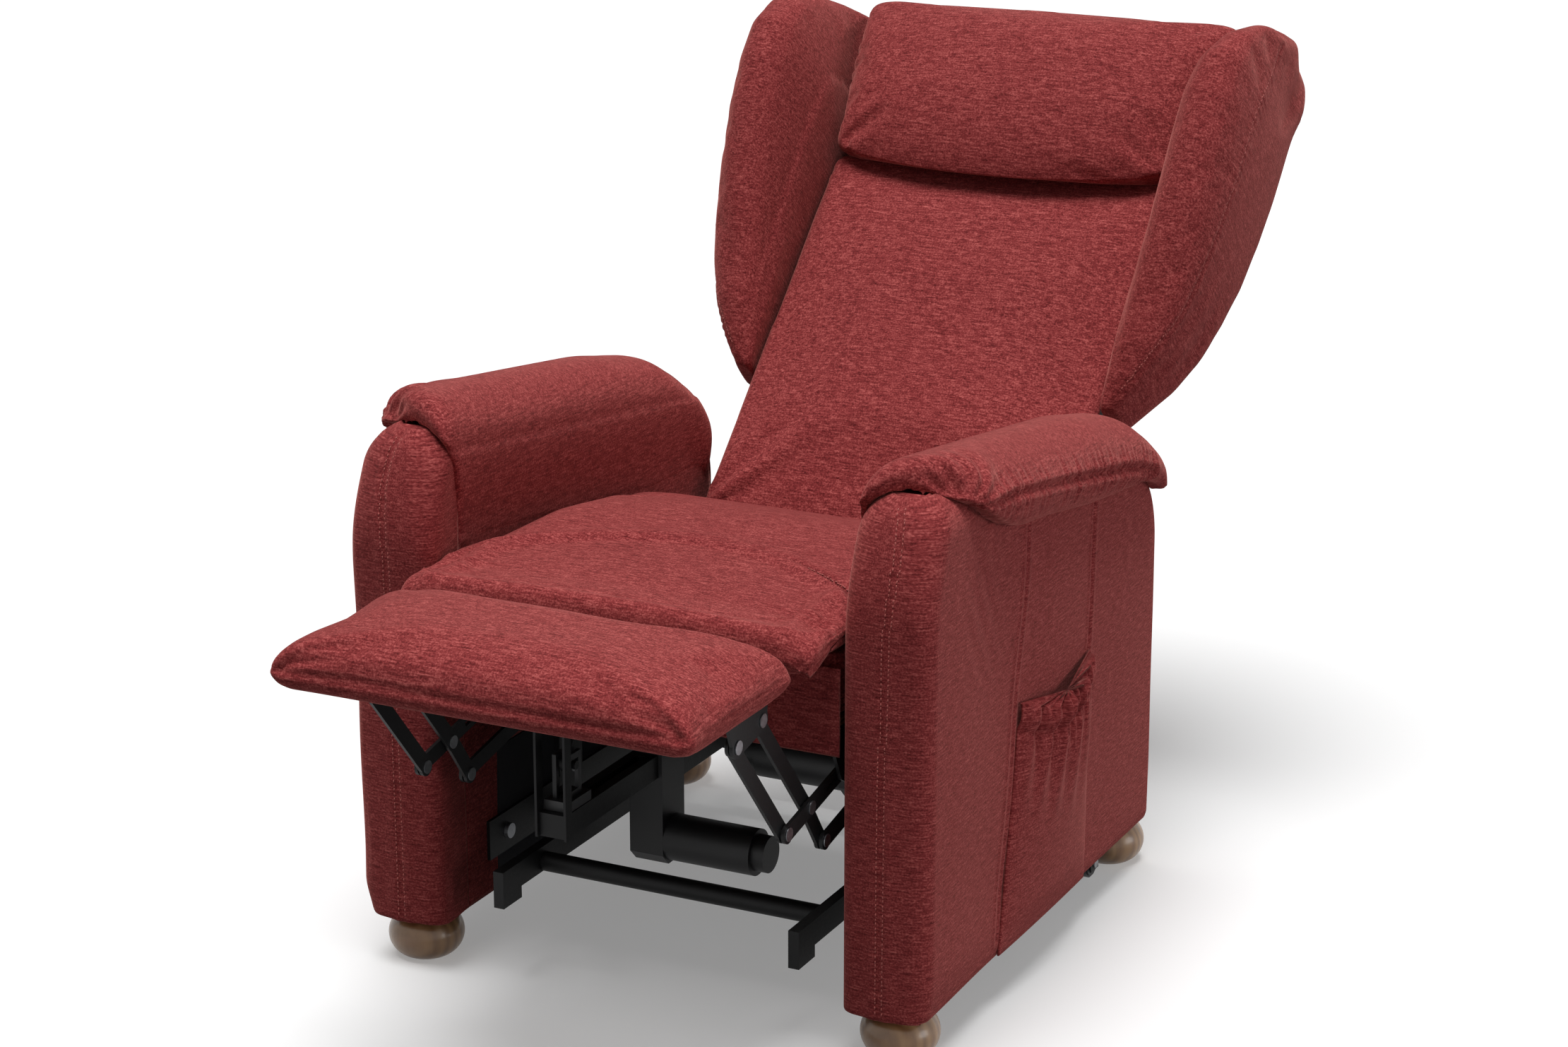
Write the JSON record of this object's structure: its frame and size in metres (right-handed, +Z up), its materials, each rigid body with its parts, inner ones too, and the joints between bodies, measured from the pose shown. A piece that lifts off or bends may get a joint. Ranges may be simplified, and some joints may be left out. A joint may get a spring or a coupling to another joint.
{
  "type": "recliner",
  "caption": "Upholstered wing recliner on wooden bun feet, with padded arms, a side pocket, a loose-backed head cushion, a fold-out footrest with a middle flap and powered steel linkage.",
  "frame": {"origin": "centre of the bounding box at floor level, as pictured: back reclined, footrest out", "axes": "+Z up, -Y toward the sitter's feet, +Y toward the back, +X toward the arm with the pocket"},
  "size_m": [0.749, 1.5484, 0.9843],
  "materials": {
    "cloth": "slubby woven upholstery cloth",
    "plain_cloth": "plain woven cloth",
    "lining": "charcoal lining cloth on board",
    "varnished_wood": "clear varnish",
    "beech": "planed, unfinished",
    "board": "plywood",
    "black_steel": "satin black",
    "plated_steel": "zinc plated",
    "spring_wire": "drawn wire",
    "black_plastic": "matt",
    "lead_jacket": "matt",
    "roller_plastic": "matt"
  },
  "bodies": {
    "chassis": {"arm_frame_left": "board", "arm_frame_right": "board", "arm_front_left": "cloth", "arm_front_right": "cloth", "arm_pad_left": "cloth", "arm_pad_right": "cloth", "side_panel_left": "cloth", "side_panel_right": "cloth", "inner_panel_left": "plain_cloth", "inner_panel_right": "plain_cloth", "lining_boards": "lining", "pocket": "cloth", "bun_feet": "varnished_wood", "foot_bolts": "plated_steel", "rear_rail": "lining", "base_rails": "black_steel", "cross_tubes": "black_steel", "side_plates": "black_steel", "mounting_bolts": "plated_steel", "roller_brackets": "black_steel", "roller_axles": "plated_steel"},
    "roller_left": {"roller_left": "roller_plastic"},
    "roller_right": {"roller_right": "roller_plastic"},
    "seat": {"seat_cushion": "cloth", "seat_frame": "beech", "seat_springs": "spring_wire", "seat_plates": "black_steel", "plate_bolts": "plated_steel", "lower_rivets": "plated_steel", "drive_rails": "black_steel", "gear_housings": "black_plastic", "motors": "black_plastic", "control_box": "black_plastic", "motor_leads": "lead_jacket", "flap_hinge_pins": "plated_steel", "back_pins": "plated_steel"},
    "flap": {"flap_hinge_straps": "plated_steel", "middle_flap": "cloth", "flap_board": "board"},
    "drive_link": {"drive_links": "black_steel", "drive_tube": "black_steel"},
    "lower_link": {"lower_links": "black_steel"},
    "cross_link": {"cross_links": "black_steel", "cross_rivets": "plated_steel"},
    "footrest_link": {"footrest_links": "black_steel", "footrest_rivets": "plated_steel"},
    "footrest": {"footrest_pad": "cloth", "footrest_board": "board", "footrest_brackets": "black_steel"},
    "footrest_slider": {"footrest_slider": "black_plastic"},
    "back": {"back_cushion": "cloth", "head_cushion": "cloth", "wing_left": "cloth", "wing_right": "cloth", "back_frame": "beech", "back_springs": "spring_wire", "back_cover": "plain_cloth", "back_brackets": "black_steel"},
    "back_slider": {"back_slider": "black_plastic"},
    "rear_carrier": {"rear_carrier": "black_steel"}
  },
  "joints": [
    {"name": "back_recline", "type": "hinge", "parent": "seat", "child": "back", "pos_m": [0, 0.22184, 0.39206], "axis": [-1, 0, 0], "range_deg": [-31, 8]},
    {"name": "seat_tilt", "type": "hinge", "parent": "chassis", "child": "seat", "pos_m": [0, -0.15417, 0.29], "axis": [-1, 0, 0], "range_deg": [-4.65, 1.2]},
    {"name": "rear_carrier_turn", "type": "hinge", "parent": "chassis", "child": "rear_carrier", "pos_m": [0, 0.01583, 0.265], "axis": [-1, 0, 0], "range_deg": [-11.6, 3]},
    {"name": "back_slider_slide", "type": "slide", "parent": "seat", "child": "back_slider", "axis": [0, 1, 0], "range_m": [-0.0143, 0.0553]},
    {"name": "footrest_fold", "type": "hinge", "parent": "seat", "child": "drive_link", "pos_m": [0, -0.34417, 0.32], "axis": [1, 0, 0], "range_deg": [0, 90]},
    {"name": "lower_link_turn", "type": "hinge", "parent": "seat", "child": "lower_link", "pos_m": [0, -0.30817, 0.2695], "axis": [1, 0, 0], "range_deg": [0, 90]},
    {"name": "cross_link_turn", "type": "hinge", "parent": "drive_link", "child": "cross_link", "pos_m": [0, -0.47017, 0.295], "axis": [1, 0, 0], "range_deg": [-90, 0]},
    {"name": "footrest_link_turn", "type": "hinge", "parent": "drive_link", "child": "footrest_link", "pos_m": [0, -0.52497, 0.2841], "axis": [1, 0, 0], "range_deg": [-90, 0]},
    {"name": "footrest_turn", "type": "hinge", "parent": "cross_link", "child": "footrest", "pos_m": [0, -0.58417, 0.43], "axis": [1, 0, 0], "range_deg": [0, 90]},
    {"name": "flap_fold", "type": "hinge", "parent": "seat", "child": "flap", "pos_m": [0, -0.44417, 0.449], "axis": [1, 0, 0], "range_deg": [0, 90]},
    {"name": "footrest_slider_slide", "type": "slide", "parent": "seat", "child": "footrest_slider", "axis": [0, 1, 0], "range_m": [0, 0.1132]},
    {"name": "roller_left_spin", "type": "hinge", "parent": "chassis", "child": "roller_left", "pos_m": [-0.3015, 0.13983, 0.021], "axis": [1, 0, 0], "continuous": true},
    {"name": "roller_right_spin", "type": "hinge", "parent": "chassis", "child": "roller_right", "pos_m": [0.3015, 0.13983, 0.021], "axis": [1, 0, 0], "continuous": true}
  ],
  "couplings": [
    {"joint": "seat_tilt", "follows": "back_recline", "ratio": 0.15},
    {"joint": "rear_carrier_turn", "follows": "back_recline", "ratio": 0.372},
    {"joint": "back_slider_slide", "follows": "back_recline", "m_per_rad": -0.102},
    {"joint": "lower_link_turn", "follows": "footrest_fold", "ratio": 1},
    {"joint": "cross_link_turn", "follows": "footrest_fold", "ratio": -1},
    {"joint": "footrest_link_turn", "follows": "footrest_fold", "ratio": -1},
    {"joint": "footrest_turn", "follows": "footrest_fold", "ratio": 1},
    {"joint": "flap_fold", "follows": "footrest_fold", "ratio": 1},
    {"joint": "footrest_slider_slide", "follows": "footrest_fold", "m_per_rad": 0.072}
  ]
}
